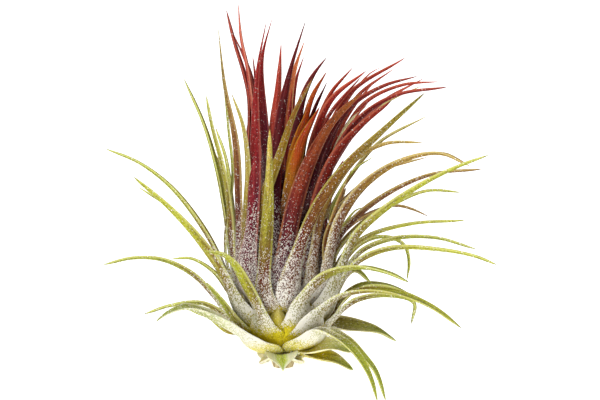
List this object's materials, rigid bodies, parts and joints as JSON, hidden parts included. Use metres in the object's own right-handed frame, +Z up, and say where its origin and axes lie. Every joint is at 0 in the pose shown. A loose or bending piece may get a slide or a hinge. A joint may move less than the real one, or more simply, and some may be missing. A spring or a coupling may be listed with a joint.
{
  "type": "rubra sky plant",
  "caption": "Loose rosette of narrow channelled leaves on a short hidden stem, silver and green outside and red at the heart, lying free with no pot.",
  "frame": {"origin": "middle of the flat lower end of the stem, on the surface that the plant rests on", "axes": "+Z up from that surface, -Y towards the front of the plant, +X towards its right seen from the front"},
  "size_m": [0.1022, 0.0925, 0.0894],
  "materials": {
    "stem": "matte",
    "low_leaves": "matte",
    "outer_leaves": "matte",
    "middle_leaves": "matte",
    "upright_leaves": "matte",
    "heart_leaves": "matte"
  },
  "bodies": {
    "root": {"stem": "stem", "low_leaf_01": "low_leaves", "low_leaf_02": "low_leaves", "low_leaf_03": "low_leaves", "low_leaf_04": "low_leaves", "low_leaf_05": "low_leaves", "low_leaf_06": "low_leaves", "low_leaf_07": "low_leaves", "low_leaf_08": "low_leaves", "low_leaf_09": "low_leaves", "low_leaf_10": "low_leaves", "outer_leaf_01": "outer_leaves", "outer_leaf_02": "outer_leaves", "outer_leaf_03": "outer_leaves", "outer_leaf_04": "outer_leaves", "outer_leaf_05": "outer_leaves", "outer_leaf_06": "outer_leaves", "outer_leaf_07": "outer_leaves", "outer_leaf_08": "outer_leaves", "outer_leaf_09": "outer_leaves", "outer_leaf_10": "outer_leaves", "middle_leaf_01": "middle_leaves", "middle_leaf_02": "middle_leaves", "middle_leaf_03": "middle_leaves", "middle_leaf_04": "middle_leaves", "middle_leaf_05": "middle_leaves", "middle_leaf_06": "middle_leaves", "middle_leaf_07": "middle_leaves", "middle_leaf_08": "middle_leaves", "middle_leaf_09": "middle_leaves", "middle_leaf_10": "middle_leaves", "middle_leaf_11": "middle_leaves", "middle_leaf_12": "middle_leaves", "middle_leaf_13": "middle_leaves", "middle_leaf_14": "middle_leaves", "middle_leaf_15": "middle_leaves", "middle_leaf_16": "middle_leaves", "middle_leaf_17": "middle_leaves", "middle_leaf_18": "middle_leaves", "middle_leaf_19": "middle_leaves", "upright_leaf_01": "upright_leaves", "upright_leaf_02": "upright_leaves", "upright_leaf_03": "upright_leaves", "upright_leaf_04": "upright_leaves", "upright_leaf_05": "upright_leaves", "upright_leaf_06": "upright_leaves", "upright_leaf_07": "upright_leaves", "upright_leaf_08": "upright_leaves", "upright_leaf_09": "upright_leaves", "upright_leaf_10": "upright_leaves", "upright_leaf_11": "upright_leaves", "upright_leaf_12": "upright_leaves", "upright_leaf_13": "upright_leaves", "upright_leaf_14": "upright_leaves", "upright_leaf_15": "upright_leaves", "upright_leaf_16": "upright_leaves", "upright_leaf_17": "upright_leaves", "upright_leaf_18": "upright_leaves", "upright_leaf_19": "upright_leaves", "heart_leaves": "heart_leaves"}
  },
  "joints": []
}
